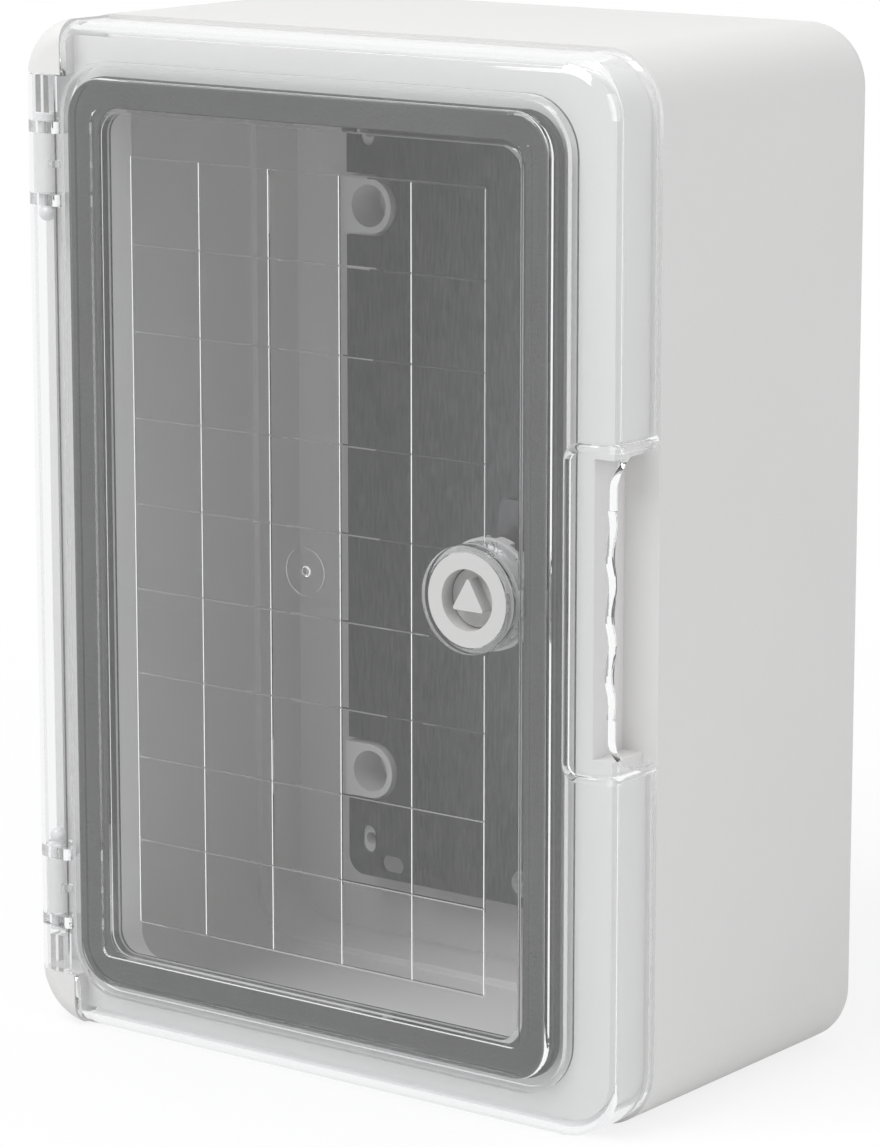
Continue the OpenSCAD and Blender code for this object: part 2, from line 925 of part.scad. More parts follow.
// Lower hinge pin: head outwards, ball tip inwards
module hinge_pin() {
    color("white") {
        z_head = hinge_margin - pin_reach;
        z_tip = hinge_margin + pin_reach + ball_r;
        upright(x_hinge, v_hinge, pin_r, z_head - pin_head[1], z_tip);
        upright(x_hinge, v_hinge, pin_head[0], z_head - pin_head[1], z_head);
        translate([x_hinge, y_of(v_hinge), z_tip])
            sphere(ball_r);
    }
}

module lower_hinge_pin() {
    hinge_pin();
}

module upper_hinge_pin() {
    translate([0, 0, body_h])
        mirror([0, 0, 1])
            hinge_pin();
}

module lock_housing() {
    color("gainsboro")
        difference() {
            union() {
                lock_disc(lock_flange_r, lock_sunk, lock_sunk + lock_flange_t);
                lock_disc(lock_body_r, lock_sunk, v_housing_back);
            }
            lock_disc(key_r, -over, v_key_floor);
            lock_disc(core_r + lock_fit, 0, v_housing_back + over);
        }
}

module lock_seal() {
    color("dimgray")
        difference() {
            lock_disc(lock_flange_r, lock_sunk + lock_flange_t, v_flange_seat);
            lock_disc(lock_body_r + lock_fit, 0, v_flange_seat + over);
        }
}

// Ring nut with grip flats
module lock_nut() {
    flats = 12;
    color("gainsboro")
        difference() {
            lock_disc(nut[0], collar_l, collar_l + nut[1]);
            lock_disc(lock_body_r + lock_fit, 0, collar_l + nut[1] + over);
            slab(collar_l + nut[1] / 3, collar_l + nut[1] + over)
                translate([x_lock, mid_z])
                    for (i = [0:flats - 1])
                        rotate(i * 360 / flats)
                            translate([nut[0], 0])
                                circle(nut[0] / 9);
        }
}

// Triangular insert, its disc, the shaft and the square tail
module lock_core() {
    color("whitesmoke")
        difference() {
            union() {
                lock_disc(key_r - 4 * lock_fit, v_key_floor - core_disc_t, v_key_floor - lock_fit);
                slab(lock_sunk + key_sunk, v_key_floor - core_disc_t / 2)
                    translate([x_lock, mid_z])
                        key_triangle();
                lock_disc(core_r, v_key_floor - core_disc_t / 2, v_cam - clip_gap);
                slab(v_cam - clip_land / 2, v_tail_end)
                    translate([x_lock, mid_z])
                        square(tail_side, center = true);
            }
            o_ring_groove();
            difference() {
                lock_disc(core_r + over, v_clip, v_clip + clip_groove);
                lock_disc(core_r - clip_depth, v_clip - over, v_clip + clip_groove + over);
            }
            lock_disc(screw_r + screw_fit, v_tail_end - cam_screw_l, v_tail_end + over);
        }
}

// Triangle with its tip up and blunt corners, about its centre
module key_triangle() {
    reach = key_side / sqrt(3);
    intersection() {
        polygon([for (i = [0:2]) reach * [cos(90 + 120 * i), sin(90 + 120 * i)]]);
        circle(reach - key_blunt);
    }
}

// Ring of round section about the lock's axis
module lock_torus(ring_r, section_r, v) {
    translate([x_lock, y_of(v), mid_z])
        rotate([90, 0, 0])
            rotate_extrude()
                translate([ring_r, 0])
                    circle(section_r);
}

module o_ring_groove() {
    w = o_ring_r + lock_fit;
    difference() {
        lock_disc(core_r + over, v_o_ring - w, v_o_ring + w);
        lock_disc(core_r - 2 * o_ring_r, v_o_ring - w - over, v_o_ring + w + over);
    }
}

module core_o_ring() {
    color("black")
        lock_torus(core_r - o_ring_r, o_ring_r - lock_fit / 2, v_o_ring);
}

// Open spring ring in the core's groove, against the back of the housing
module core_clip() {
    gap = core_r;
    color("silver")
        difference() {
            lock_disc(core_r + clip_out, v_clip + clip_gap, v_clip + clip_groove - clip_gap);
            lock_disc(core_r - clip_depth + lock_fit, 0, v_cam);
            slab(0, v_cam)
                translate([x_lock - gap / 2, mid_z - core_r - clip_out - over])
                    square([gap, core_r]);
        }
}

// Cam: round at the core, straight to its tip, standing upright while the door is unlocked
module lock_cam() {
    tip_r = 3;
    tip_w = cam_w - 4;
    color("silver")
        slab(v_cam, v_cam + cam_t)
            translate([x_lock, mid_z])
                difference() {
                    union() {
                        circle(cam_w / 2 + 1);
                        translate([-tip_w / 2, 0])
                            square([tip_w, cam_l - tip_r]);
                        translate([tip_r - tip_w / 2, 0])
                            square([tip_w - 2 * tip_r, cam_l]);
                        for (x = [-1, 1])
                            translate([x * (tip_w / 2 - tip_r), cam_l - tip_r])
                                circle(tip_r);
                    }
                    square(tail_side + 2 * lock_fit, center = true);
                }
}

module cam_washer() {
    color("silver")
        difference() {
            lock_disc(cam_washer_r, v_cam + cam_t, v_cam + cam_t + cam_washer_t);
            lock_disc(screw_r + screw_fit, 0, body_d);
        }
}

module cam_screw() {
    v_head = v_cam + cam_t + cam_washer_t;
    color("silver")
        difference() {
            union() {
                lock_disc(head_r, v_head, v_head + head_h);
                lock_disc(screw_r, v_tail_end - cam_screw_l + over, v_head + head_h / 2);
            }
            cross_recess([x_lock, mid_z], v_head + head_h + over - head_h / 2, head_r, head_h);
        }
}

base_shell();
mounting_plate();
plate_screws();
door_panel();
door_gasket();
upper_hinge_pin();
lower_hinge_pin();
lock_housing();
lock_seal();
lock_nut();
lock_core();
core_o_ring();
core_clip();
lock_cam();
cam_washer();
cam_screw();
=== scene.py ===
# %% [markdown]
# # A wall cabinet with a clear door
# This lesson dresses a plastic control cabinet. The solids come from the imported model, already at
# their real size, and stay where they are. What is added here is light, a camera, the finishes of the
# moulded parts and the small forms that are easier to make as meshes.

import math

import bmesh
import bpy
from mathutils import Matrix, Vector


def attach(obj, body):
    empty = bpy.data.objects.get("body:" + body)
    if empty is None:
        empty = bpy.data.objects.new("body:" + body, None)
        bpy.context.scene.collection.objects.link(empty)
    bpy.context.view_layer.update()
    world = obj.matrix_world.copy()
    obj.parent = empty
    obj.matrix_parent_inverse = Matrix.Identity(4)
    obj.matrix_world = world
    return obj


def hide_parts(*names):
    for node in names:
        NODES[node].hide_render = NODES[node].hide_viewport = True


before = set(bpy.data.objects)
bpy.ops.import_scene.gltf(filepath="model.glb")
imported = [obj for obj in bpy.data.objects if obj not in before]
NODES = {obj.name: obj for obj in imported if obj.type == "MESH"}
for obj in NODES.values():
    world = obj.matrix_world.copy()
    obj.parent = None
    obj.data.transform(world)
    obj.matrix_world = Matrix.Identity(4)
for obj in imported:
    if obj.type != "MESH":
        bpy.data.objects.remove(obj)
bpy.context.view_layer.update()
scene = bpy.context.scene
print("nodes:", sorted(NODES))

# %% [markdown]
# ## Camera
# The photograph was taken from the lock side, a little above the cabinet, with a long lens. Its
# outline gave the turn, the tilt and the distance. A long lens far away keeps the edges nearly
# parallel, as they are in the picture, and no lens shift is needed.

# %% Camera at the photograph's angle
IMAGE_HEIGHT = 1147
FOCAL_PIXELS = 4578
TURN = 0.6459
TILT = 0.2055
DISTANCE = 1.3317
MIDDLE_Z = 0.150
AIM = Vector((0, 0, MIDDLE_Z))
SLIDE = (0.00089, -0.01048)

forward = Vector((-math.sin(TURN) * math.cos(TILT), math.cos(TURN) * math.cos(TILT), -math.sin(TILT)))
right = Vector((math.cos(TURN), math.sin(TURN), 0))
up = right.cross(forward)

lens = bpy.data.cameras.new("photo_camera")
lens.sensor_width = 36
lens.lens = FOCAL_PIXELS / IMAGE_HEIGHT * lens.sensor_width
lens.clip_end = 50
camera = bpy.data.objects.new("photo_camera", lens)
place = AIM - forward * DISTANCE + right * SLIDE[0] + up * SLIDE[1]
camera.matrix_world = Matrix.Translation(place) @ Matrix((right, up, -forward)).transposed().to_4x4()
scene.collection.objects.link(camera)
scene.camera = camera
print("camera at", tuple(round(c, 3) for c in place), "lens", round(lens.lens, 1), "mm")

# %% [markdown]
# ## Light and floor
# A product picture has soft light from large white panels and a floor that fades into white. The world
# gives an even fill and three area lamps give the shape: a strong one in front, a weaker one at the lock
# side and a faint one above. The camera sees plain white behind the object, also through the clear door
# and in its reflections, while soft light on the object comes from the weaker fill.

# %% World
scene.view_settings.view_transform = "Standard"
FILL_COLOR = (0.97, 0.98, 1, 1)
FILL_STRENGTH = 0.52
WHITE = (1, 1, 1, 1)


def seen_directly(nodes, links, path):
    """1 for rays that show a place to the camera, through glass or in a mirror, and 0 for soft light."""
    either = nodes.new("ShaderNodeMath")
    either.operation = "MAXIMUM"
    links.new(path.outputs["Is Camera Ray"], either.inputs[0])
    links.new(path.outputs["Is Transmission Ray"], either.inputs[1])
    any_of = nodes.new("ShaderNodeMath")
    any_of.operation = "MAXIMUM"
    links.new(either.outputs[0], any_of.inputs[0])
    links.new(path.outputs["Is Glossy Ray"], any_of.inputs[1])
    return any_of.outputs[0]


world = bpy.data.worlds.new("white_room")
scene.world = world
world.use_nodes = True
w_nodes, w_links = world.node_tree.nodes, world.node_tree.links
w_nodes.clear()
w_out = w_nodes.new("ShaderNodeOutputWorld")
w_mix = w_nodes.new("ShaderNodeMixShader")
w_fill = w_nodes.new("ShaderNodeBackground")
w_fill.inputs["Color"].default_value = FILL_COLOR
w_fill.inputs["Strength"].default_value = FILL_STRENGTH
w_seen = w_nodes.new("ShaderNodeBackground")
w_seen.inputs["Color"].default_value = WHITE
w_seen.inputs["Strength"].default_value = 1
w_path = w_nodes.new("ShaderNodeLightPath")
w_links.new(seen_directly(w_nodes, w_links, w_path), w_mix.inputs["Fac"])
w_links.new(w_fill.outputs[0], w_mix.inputs[1])
w_links.new(w_seen.outputs[0], w_mix.inputs[2])
w_links.new(w_mix.outputs[0], w_out.inputs["Surface"])
print("world:", world.name, "with fill", FILL_STRENGTH)

# %% Lamps
LAMP_SIZE = 1.4
LAMPS = {
    "key_panel": ((-0.45, -1.25, 1.85), 36),
    "side_panel": ((1.9, -0.3, 1.0), 11.5),
    "top_panel": ((0.1, 0.2, 1.9), 3),
}


def soft_lamp(name, at, power):
    """Large square lamp that points at the middle of the cabinet."""
    lamp = bpy.data.lights.new(name, "AREA")
    lamp.shape = "SQUARE"
    lamp.size = LAMP_SIZE
    lamp.energy = power
    obj = bpy.data.objects.new(name, lamp)
    obj.location = at
    obj.rotation_euler = (AIM - Vector(at)).to_track_quat("-Z", "Y").to_euler()
    scene.collection.objects.link(obj)


for lamp_name, (lamp_at, lamp_power) in LAMPS.items():
    soft_lamp(lamp_name, lamp_at, lamp_power)
print("lamps:", list(LAMPS))

# %% Floor
FLOOR_REACH = 4
FLOOR_COLOR = (0.86, 0.86, 0.86, 1)
FADE_NEAR, FADE_FAR = 0.12, 0.7
WHITE_NEAR, WHITE_FAR = 0.8, 1
floor_mesh = bpy.data.meshes.new("floor")
corners = [(FLOOR_REACH * x, FLOOR_REACH * y, 0) for x, y in ((-1, -1), (1, -1), (1, 1), (-1, 1))]
floor_mesh.from_pydata(corners, [], [(0, 1, 2, 3)])
floor = bpy.data.objects.new("floor", floor_mesh)
scene.collection.objects.link(floor)
floor_paint = bpy.data.materials.new("pale_floor")
floor_paint.use_nodes = True
f_nodes, f_links = floor_paint.node_tree.nodes, floor_paint.node_tree.links
f_shader = f_nodes["Principled BSDF"]
f_shader.inputs["Base Color"].default_value = FLOOR_COLOR
f_shader.inputs["Roughness"].default_value = 0.9
f_white = f_nodes.new("ShaderNodeEmission")
f_white.inputs["Color"].default_value = WHITE
f_white.inputs["Strength"].default_value = 1
f_path = f_nodes.new("ShaderNodeLightPath")
f_where = f_nodes.new("ShaderNodeTexCoord")
f_far = f_nodes.new("ShaderNodeVectorMath")
f_far.operation = "LENGTH"
f_fade = f_nodes.new("ShaderNodeMapRange")
f_fade.interpolation_type = "SMOOTHSTEP"
f_fade.inputs["From Min"].default_value = FADE_NEAR
f_fade.inputs["From Max"].default_value = FADE_FAR
f_fade.inputs["To Min"].default_value = WHITE_NEAR
f_fade.inputs["To Max"].default_value = WHITE_FAR
f_share = f_nodes.new("ShaderNodeMath")
f_share.operation = "MULTIPLY"
f_mix = f_nodes.new("ShaderNodeMixShader")
f_links.new(f_where.outputs["Object"], f_far.inputs[0])
f_links.new(f_far.outputs["Value"], f_fade.inputs["Value"])
f_links.new(f_fade.outputs["Result"], f_share.inputs[1])
f_links.new(seen_directly(f_nodes, f_links, f_path), f_share.inputs[0])
f_links.new(f_share.outputs[0], f_mix.inputs["Fac"])
f_links.new(f_shader.outputs[0], f_mix.inputs[1])
f_links.new(f_white.outputs[0], f_mix.inputs[2])
f_links.new(f_mix.outputs[0], f_nodes["Material Output"].inputs["Surface"])
floor_mesh.materials.append(floor_paint)
print("floor:", 2 * FLOOR_REACH, "m square")

# %% [markdown]
# ## Moulded surfaces
# Every plastic piece of the cabinet left a steel mould whose skin was eroded to a fine matt grain. The
# same grain shows in all of them at different strengths, so it is one shader group: it puts out a
# slight change of tone, a roughness and a height, and each material sets its own sizes.


# %% A group for moulded grain
def shader_group(name, inputs, outputs):
    """Empty shader group with float or colour inputs and outputs."""
    group = bpy.data.node_groups.new(name, "ShaderNodeTree")
    for label, kind, value in inputs:
        socket = group.interface.new_socket(label, in_out="INPUT", socket_type="NodeSocket" + kind)
        socket.default_value = value
    for label, kind in outputs:
        group.interface.new_socket(label, in_out="OUTPUT", socket_type="NodeSocket" + kind)
    return group, group.nodes.new("NodeGroupInput"), group.nodes.new("NodeGroupOutput")


grain, g_in, g_out = shader_group(
    "moulded_grain",
    [("Tone A", "Color", (0.6, 0.6, 0.6, 1)), ("Tone B", "Color", (0.7, 0.7, 0.7, 1)),
     ("Drift Scale", "Float", 9.0), ("Grain Scale", "Float", 2200.0),
     ("Rough Low", "Float", 0.4), ("Rough High", "Float", 0.5)],
    [("Color", "Color"), ("Roughness", "Float"), ("Height", "Float")])
g_nodes, g_links = grain.nodes, grain.links
g_where = g_nodes.new("ShaderNodeTexCoord")
g_drift = g_nodes.new("ShaderNodeTexNoise")
g_drift.inputs["Detail"].default_value = 3
g_fine = g_nodes.new("ShaderNodeTexNoise")
g_fine.inputs["Detail"].default_value = 2
g_tone = g_nodes.new("ShaderNodeMix")
g_tone.data_type = "RGBA"
g_rough = g_nodes.new("ShaderNodeMapRange")
g_links.new(g_where.outputs["Object"], g_drift.inputs["Vector"])
g_links.new(g_where.outputs["Object"], g_fine.inputs["Vector"])
g_links.new(g_in.outputs["Drift Scale"], g_drift.inputs["Scale"])
g_links.new(g_in.outputs["Grain Scale"], g_fine.inputs["Scale"])
g_links.new(g_drift.outputs["Fac"], g_tone.inputs["Factor"])
g_links.new(g_in.outputs["Tone A"], g_tone.inputs["A"])
g_links.new(g_in.outputs["Tone B"], g_tone.inputs["B"])
g_links.new(g_fine.outputs["Fac"], g_rough.inputs["Value"])
g_links.new(g_in.outputs["Rough Low"], g_rough.inputs["To Min"])
g_links.new(g_in.outputs["Rough High"], g_rough.inputs["To Max"])
g_links.new(g_tone.outputs["Result"], g_out.inputs["Color"])
g_links.new(g_rough.outputs["Result"], g_out.inputs["Roughness"])
g_links.new(g_fine.outputs["Fac"], g_out.inputs["Height"])
print("group:", grain.name, [s.name for s in grain.interface.items_tree])

# %% Materials that use the grain
GRAIN_DEPTH = 0.0002


def tone(value, warm=0.0):
    """Grey of a given linear value, a little warmer or cooler."""
    return (value * (1 + warm), value, value * (1 - warm), 1)


def grained(name, tones, rough, bump, grain_scale=2200, drift=9):
    """Principled material whose tone, gloss and bump come from the moulded grain."""
    mat = bpy.data.materials.new(name)
    mat.use_nodes = True
    nodes, links = mat.node_tree.nodes, mat.node_tree.links
    shader = nodes["Principled BSDF"]
    skin = nodes.new("ShaderNodeGroup")
    skin.node_tree = grain
    skin.inputs["Tone A"].default_value = tones[0]
    skin.inputs["Tone B"].default_value = tones[1]
    skin.inputs["Drift Scale"].default_value = drift
    skin.inputs["Grain Scale"].default_value = grain_scale
    skin.inputs["Rough Low"].default_value = rough[0]
    skin.inputs["Rough High"].default_value = rough[1]
    bumps = nodes.new("ShaderNodeBump")
    bumps.inputs["Strength"].default_value = bump
    bumps.inputs["Distance"].default_value = GRAIN_DEPTH
    links.new(skin.outputs["Color"], shader.inputs["Base Color"])
    links.new(skin.outputs["Roughness"], shader.inputs["Roughness"])
    links.new(skin.outputs["Height"], bumps.inputs["Height"])
    links.new(bumps.outputs["Normal"], shader.inputs["Normal"])
    return mat


shell_plastic = grained("shell_plastic", (tone(0.62, 0.012), tone(0.66, 0.012)), (0.42, 0.55), 0.25)
gasket_foam = grained("gasket_foam", (tone(0.045), tone(0.07)), (0.75, 0.9), 0.6,
                      grain_scale=900, drift=40)
pin_plastic = grained("pin_plastic", (tone(0.64), tone(0.68)), (0.3, 0.4), 0.1)
lock_plastic = grained("lock_plastic", (tone(0.50, 0.01), tone(0.54, 0.01)), (0.32, 0.42), 0.15)
seal_rubber = grained("seal_rubber", (tone(0.03), tone(0.04)), (0.6, 0.75), 0.3, grain_scale=1500)
print("moulded:", [m.name for m in (shell_plastic, gasket_foam, pin_plastic, lock_plastic, seal_rubber)])

# %% [markdown]
# ## Zinc-coated steel
# The mounting plate is rolled sheet with a thin zinc coat. It has long faint rolling lines, a soft
# cloudy tone and a low gloss. A noise stretched along the sheet's height gives the lines, and small
# cells give the clouds. Screws, washer and cam have the same coat without a direction. The sheet's
# tones, and the washer's and cam's, are far darker than bare zinc. That darkness is painted shade of
# the cabinet's inside, which the metal reflects.

# %% Zinc-coated sheet and hardware
CLOUD_SCALE = 160
CLOUD_SHARE = 0.35
ROLLED = (1100, 1100, 160)
EVEN = (300, 300, 300)


def zinc(name, tones, rough, stretch):
    """Metal with rolling lines along Z, or with even ones."""
    mat = bpy.data.materials.new(name)
    mat.use_nodes = True
    nodes, links = mat.node_tree.nodes, mat.node_tree.links
    shader = nodes["Principled BSDF"]
    shader.inputs["Metallic"].default_value = 1.0
    where = nodes.new("ShaderNodeTexCoord")
    turn = nodes.new("ShaderNodeMapping")
    turn.inputs["Scale"].default_value = stretch
    lines = nodes.new("ShaderNodeTexNoise")
    lines.inputs["Scale"].default_value = 1.0
    lines.inputs["Detail"].default_value = 4
    cloud = nodes.new("ShaderNodeTexVoronoi")
    cloud.inputs["Scale"].default_value = CLOUD_SCALE
    mix = nodes.new("ShaderNodeMix")
    mix.data_type = "RGBA"
    mix.inputs["A"].default_value = tones[0]
    mix.inputs["B"].default_value = tones[1]
    spread = nodes.new("ShaderNodeMapRange")
    spread.inputs["From Min"].default_value = 0.3
    spread.inputs["From Max"].default_value = 0.7
    spread.inputs["To Max"].default_value = 1 - CLOUD_SHARE
    blend = nodes.new("ShaderNodeMath")
    blend.operation = "MULTIPLY_ADD"
    blend.inputs[1].default_value = CLOUD_SHARE
    rough_map = nodes.new("ShaderNodeMapRange")
    rough_map.inputs["To Min"].default_value = rough[0]
    rough_map.inputs["To Max"].default_value = rough[1]
    links.new(where.outputs["Object"], turn.inputs["Vector"])
    links.new(turn.outputs["Vector"], lines.inputs["Vector"])
    links.new(where.outputs["Object"], cloud.inputs["Vector"])
    links.new(cloud.outputs["Color"], blend.inputs[0])
    links.new(lines.outputs["Fac"], spread.inputs["Value"])
    links.new(spread.outputs["Result"], blend.inputs[2])
    links.new(blend.outputs[0], mix.inputs["Factor"])
    links.new(mix.outputs["Result"], shader.inputs["Base Color"])
    links.new(lines.outputs["Fac"], rough_map.inputs["Value"])
    links.new(rough_map.outputs["Result"], shader.inputs["Roughness"])
    return mat


# Painted shade: these tones are far darker than bare zinc and stand for the dark inside of the cabinet.
# The lines and clouds are the sheet's own.
zinc_sheet = zinc("zinc_sheet", ((0.09, 0.092, 0.095, 1), (0.19, 0.192, 0.195, 1)), (0.38, 0.5), ROLLED)
zinc_hardware = zinc("zinc_hardware", ((0.55, 0.55, 0.56, 1), (0.7, 0.7, 0.7, 1)), (0.25, 0.35), EVEN)
# Painted shade: the cam, its washer and its screw take the sheet's darkened tones, so they stay as dark
# as the shaded plate. The screws and clip use the lit zinc above.
shaded_zinc = zinc("shaded_zinc", ((0.10, 0.10, 0.105, 1), (0.15, 0.15, 0.155, 1)), (0.35, 0.45), EVEN)
print("metals:", zinc_sheet.name, zinc_hardware.name, shaded_zinc.name)

# %% [markdown]
# ## Clear plastic
# The door is moulded in clear polycarbonate. A transmitting surface bends light at both faces, which
# draws the bright and dark lines along ridges and edges. Light that goes through to the inside would
# get lost in a renderer that treats the door as an opaque blocker, so shadow rays and soft light pass it
# as through a slightly grey film. A ray that has already been bent several times passes in the same way,
# because it would otherwise end in a black line at the edges.

# %% Clear door plastic
CLEAR_INDEX = 1.58
CLEAR_TINTS = ((0.915, 0.92, 0.925, 1), (0.935, 0.94, 0.945, 1))
FILM_TINT = (0.985, 0.988, 0.99, 1)
LONGEST_PATH = 3.5
clear_plastic = bpy.data.materials.new("clear_plastic")
clear_plastic.use_nodes = True
c_nodes, c_links = clear_plastic.node_tree.nodes, clear_plastic.node_tree.links
c_shader = c_nodes["Principled BSDF"]
c_shader.inputs["Transmission Weight"].default_value = 1.0
c_shader.inputs["IOR"].default_value = CLEAR_INDEX
c_skin = c_nodes.new("ShaderNodeGroup")
c_skin.node_tree = grain
c_skin.inputs["Tone A"].default_value = CLEAR_TINTS[0]
c_skin.inputs["Tone B"].default_value = CLEAR_TINTS[1]
c_skin.inputs["Rough Low"].default_value = 0.0
c_skin.inputs["Rough High"].default_value = 0.03
c_skin.inputs["Grain Scale"].default_value = 60
c_film = c_nodes.new("ShaderNodeBsdfTransparent")
c_film.inputs["Color"].default_value = FILM_TINT
c_path = c_nodes.new("ShaderNodeLightPath")
c_any = c_nodes.new("ShaderNodeMath")
c_any.operation = "MAXIMUM"
c_long = c_nodes.new("ShaderNodeMath")
c_long.operation = "GREATER_THAN"
c_long.inputs[1].default_value = LONGEST_PATH
c_free = c_nodes.new("ShaderNodeMath")
c_free.operation = "MAXIMUM"
c_mix = c_nodes.new("ShaderNodeMixShader")
c_links.new(c_skin.outputs["Color"], c_shader.inputs["Base Color"])
c_links.new(c_skin.outputs["Roughness"], c_shader.inputs["Roughness"])
c_links.new(c_path.outputs["Is Shadow Ray"], c_any.inputs[0])
c_links.new(c_path.outputs["Is Diffuse Ray"], c_any.inputs[1])
c_links.new(c_path.outputs["Ray Depth"], c_long.inputs[0])
c_links.new(c_any.outputs[0], c_free.inputs[0])
c_links.new(c_long.outputs[0], c_free.inputs[1])
c_links.new(c_free.outputs[0], c_mix.inputs["Fac"])
c_links.new(c_shader.outputs[0], c_mix.inputs[1])
c_links.new(c_film.outputs[0], c_mix.inputs[2])
c_links.new(c_mix.outputs[0], c_nodes["Material Output"].inputs["Surface"])
print("clear plastic, index", CLEAR_INDEX)

# %% Finishes on the solids
FINISH = {
    "base_shell": shell_plastic, "mounting_plate": zinc_sheet, "plate_screws": zinc_hardware,
    "door_panel": clear_plastic, "door_gasket": gasket_foam, "upper_hinge_pin": pin_plastic,
    "lower_hinge_pin": pin_plastic, "lock_housing": lock_plastic, "lock_seal": seal_rubber,
    "lock_nut": lock_plastic, "lock_core": lock_plastic, "core_o_ring": seal_rubber,
    "core_clip": zinc_hardware, "lock_cam": shaded_zinc, "cam_washer": shaded_zinc,
    "cam_screw": shaded_zinc,
}
for node, finish in FINISH.items():
    slots = NODES[node].data.materials
    slots.clear()
    slots.append(finish)
print("finished solids:", len(FINISH), "of", len(NODES))

# %% [markdown]
# ## Foam gasket
# The gasket is foam that was poured as a bead into the door and set with a domed skin. It is wider along
# the sides than along the top and bottom, so one profile swept along a path would not fit. Instead, each
# point of the profile becomes a loop between the inner and the outer outline, and the loops are joined.
# A hair's width of air stays in front of it, as behind a real bead: there the clear door shines back,
# which draws the bright line along the ridge.


# %% Loops of the gasket
def outline(half_x, half_z, radius, steps=14):
    """Points of a rounded rectangle about the door's middle."""
    points = []
    for quarter, (side_x, side_z) in enumerate(((1, 1), (-1, 1), (-1, -1), (1, -1))):
        for step in range(steps + 1):
            turn = math.radians(90 * (quarter + step / steps))
            points.append((side_x * (half_x - radius) + radius * math.cos(turn),
                           MIDDLE_Z + side_z * (half_z - radius) + radius * math.sin(turn)))
    return points


# Half width, half height and corner radius of the two outlines
GASKET_INNER = (0.0752, 0.1257, 0.008)
GASKET_OUTER = (0.0859, 0.1342, 0.012)
GASKET_FRONT, GASKET_BACK = -0.05884, -0.0554
# Profile: share of the way from inner to outer outline, and from front to back
DOME = [(0, 0.1), (0.03, 0), (0.97, 0), (1, 0.1), (1, 0.62), (0.975, 0.8), (0.91, 0.93),
        (0.78, 0.985), (0.5, 1), (0.22, 0.985), (0.09, 0.93), (0.025, 0.8), (0, 0.62)]
foam_points, foam_faces = [], []
for across, deep in DOME:
    size = [a + (b - a) * across for a, b in zip(GASKET_INNER, GASKET_OUTER)]
    y = GASKET_FRONT + (GASKET_BACK - GASKET_FRONT) * deep
    foam_points += [(x, y, z) for x, z in outline(*size)]
around = len(foam_points) // len(DOME)
for i in range(len(DOME)):
    for j in range(around):
        k, m = (i + 1) % len(DOME), (j + 1) % around
        foam_faces.append((i * around + j, i * around + m, k * around + m, k * around + j))
print("gasket:", len(DOME), "loops of", around, "points")

# %% Foam gasket
SAME_POINT = 1e-6
FOAM_CREASE = math.radians(40)
foam_mesh = bpy.data.meshes.new("foam_gasket")
foam_mesh.from_pydata(foam_points, [], foam_faces)
shape = bmesh.new()
shape.from_mesh(foam_mesh)
bmesh.ops.remove_doubles(shape, verts=shape.verts, dist=SAME_POINT)
bmesh.ops.recalc_face_normals(shape, faces=shape.faces)
shape.to_mesh(foam_mesh)
shape.free()
foam_mesh.shade_smooth()
foam_mesh.set_sharp_from_angle(angle=FOAM_CREASE)
foam_mesh.materials.append(gasket_foam)
foam_gasket = bpy.data.objects.new("foam_gasket", foam_mesh)
scene.collection.objects.link(foam_gasket)
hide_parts("door_gasket")
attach(foam_gasket, "door")
print("gasket:", len(foam_mesh.polygons), "faces")

# %% [markdown]
# ## Thread on the lock barrel
# A ring nut holds the lock from inside, and the barrel behind it shows the rest of its thread. A thread
# is one small profile that follows a helix, so a node tree makes it: a spiral curve for the path, a
# square profile set on its corner, and the helix turned to lie along the barrel. Radius, pitch, turns
# and height of the thread are inputs, so that the same tree could make another screw.

# %% Node tree for a screw thread
STEPS_PER_TURN = 64
PROFILE_CORNERS = 4


def thread_tree(name):
    """Helical ridge along Z, with named sizes."""
    tree = bpy.data.node_groups.new(name, "GeometryNodeTree")
    for label, kind in (("Radius", "Float"), ("Pitch", "Float"), ("Turns", "Float"), ("Height", "Float"),
                        ("Finish", "Material")):
        tree.interface.new_socket(label, in_out="INPUT", socket_type="NodeSocket" + kind)
    tree.interface.new_socket("Geometry", in_out="OUTPUT", socket_type="NodeSocketGeometry")
    nodes, links = tree.nodes, tree.links
    given = nodes.new("NodeGroupInput")
    length = nodes.new("ShaderNodeMath")
    length.operation = "MULTIPLY"
    helix = nodes.new("GeometryNodeCurveSpiral")
    helix.inputs["Resolution"].default_value = STEPS_PER_TURN
    level = nodes.new("GeometryNodeSetCurveNormal")
    level.mode = "Z_UP"
    profile = nodes.new("GeometryNodeCurvePrimitiveCircle")
    profile.inputs["Resolution"].default_value = PROFILE_CORNERS
    ridge = nodes.new("GeometryNodeCurveToMesh")
    ridge.inputs["Fill Caps"].default_value = True
    solid = nodes.new("GeometryNodeRealizeInstances")
    paint = nodes.new("GeometryNodeSetMaterial")
    made = nodes.new("NodeGroupOutput")
    links.new(given.outputs["Pitch"], length.inputs[0])
    links.new(given.outputs["Turns"], length.inputs[1])
    links.new(given.outputs["Turns"], helix.inputs["Rotations"])
    links.new(given.outputs["Radius"], helix.inputs["Start Radius"])
    links.new(given.outputs["Radius"], helix.inputs["End Radius"])
    links.new(length.outputs[0], helix.inputs["Height"])
    links.new(given.outputs["Height"], profile.inputs["Radius"])
    links.new(helix.outputs["Curve"], level.inputs["Curve"])
    links.new(level.outputs["Curve"], ridge.inputs["Curve"])
    links.new(profile.outputs["Curve"], ridge.inputs["Profile Curve"])
    links.new(ridge.outputs["Mesh"], solid.inputs["Geometry"])
    links.new(solid.outputs["Geometry"], paint.inputs["Geometry"])
    links.new(given.outputs["Finish"], paint.inputs["Material"])
    links.new(paint.outputs["Geometry"], made.inputs["Geometry"])
    return tree


screw_thread = thread_tree("screw_thread")
print("tree:", screw_thread.name, [s.name for s in screw_thread.interface.items_tree])


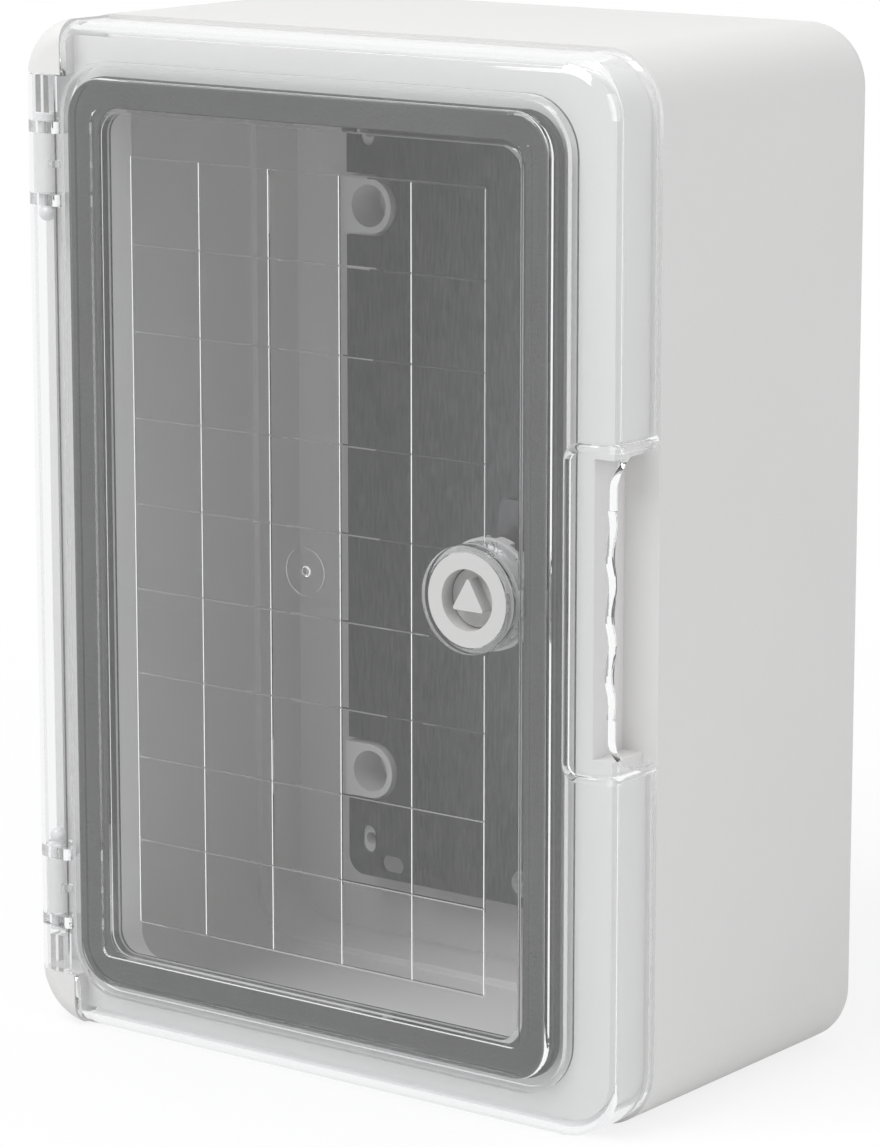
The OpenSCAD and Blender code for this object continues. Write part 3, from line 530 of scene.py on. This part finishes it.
# %% The barrel's thread
def grow(name, tree, sizes):
    """Plain mesh made by a node tree from named sizes."""
    carrier = bpy.data.objects.new(name + "_carrier", bpy.data.meshes.new(name + "_carrier"))
    scene.collection.objects.link(carrier)
    step = carrier.modifiers.new("grow", "NODES")
    step.node_group = tree
    for item in tree.interface.items_tree:
        if item.in_out == "INPUT":
            step[item.identifier] = sizes[item.name]
    view = bpy.context.evaluated_depsgraph_get()
    mesh = bpy.data.meshes.new_from_object(carrier.evaluated_get(view))
    mesh.name = name
    carrier.modifiers.remove(step)
    bpy.data.objects.remove(carrier)
    return mesh


THREAD_START = Vector((0.059, -0.0496, MIDDLE_Z))
THREAD_SIZES = {"Radius": 0.0102, "Pitch": 0.0015, "Turns": 3.3, "Height": 0.0004,
                "Finish": lock_plastic}
# Turns the Z axis to point into the cabinet
INWARDS = Matrix.Rotation(math.radians(-90), 4, "X")
thread_mesh = grow("barrel_thread", screw_thread, THREAD_SIZES)
thread_mesh.transform(Matrix.Translation(THREAD_START) @ INWARDS)
barrel_thread = bpy.data.objects.new("barrel_thread", thread_mesh)
scene.collection.objects.link(barrel_thread)
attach(barrel_thread, "door")
print("thread:", len(thread_mesh.polygons), "faces")

# %% [markdown]
# ## Moulding point
# The clear plastic ran into the mould through one hole in the middle of the window, and left a small
# bead there, on the window's back. It acts as a tiny lens, which makes a bright dot in the window. A
# spun curve would do, but a ball that is cut in half and flattened takes fewer steps.

# %% Bead in the moulding point
BEAD_RADIUS, BEAD_HEIGHT = 0.0017, 0.0010
BEAD_AT = Vector((0, -0.05989, MIDDLE_Z))
BEAD_CREASE = math.radians(50)
bead_mesh = bpy.data.meshes.new("moulding_point")
shape = bmesh.new()
bmesh.ops.create_uvsphere(shape, u_segments=32, v_segments=24, radius=BEAD_RADIUS)
bmesh.ops.bisect_plane(shape, geom=shape.verts[:] + shape.edges[:] + shape.faces[:], dist=1e-7,
                       plane_co=(0, 0, 0), plane_no=(0, 0, 1), clear_inner=True)
bmesh.ops.holes_fill(shape, edges=shape.edges[:])
bmesh.ops.recalc_face_normals(shape, faces=shape.faces[:])
flatten = Matrix.Diagonal((1, 1, BEAD_HEIGHT / BEAD_RADIUS, 1))
shape.transform(Matrix.Translation(BEAD_AT) @ INWARDS @ flatten)
shape.to_mesh(bead_mesh)
shape.free()
bead_mesh.shade_smooth()
bead_mesh.set_sharp_from_angle(angle=BEAD_CREASE)
bead_mesh.materials.append(clear_plastic)
moulding_point = bpy.data.objects.new("moulding_point", bead_mesh)
scene.collection.objects.link(moulding_point)
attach(moulding_point, "door")
print("bead:", len(bead_mesh.polygons), "faces")
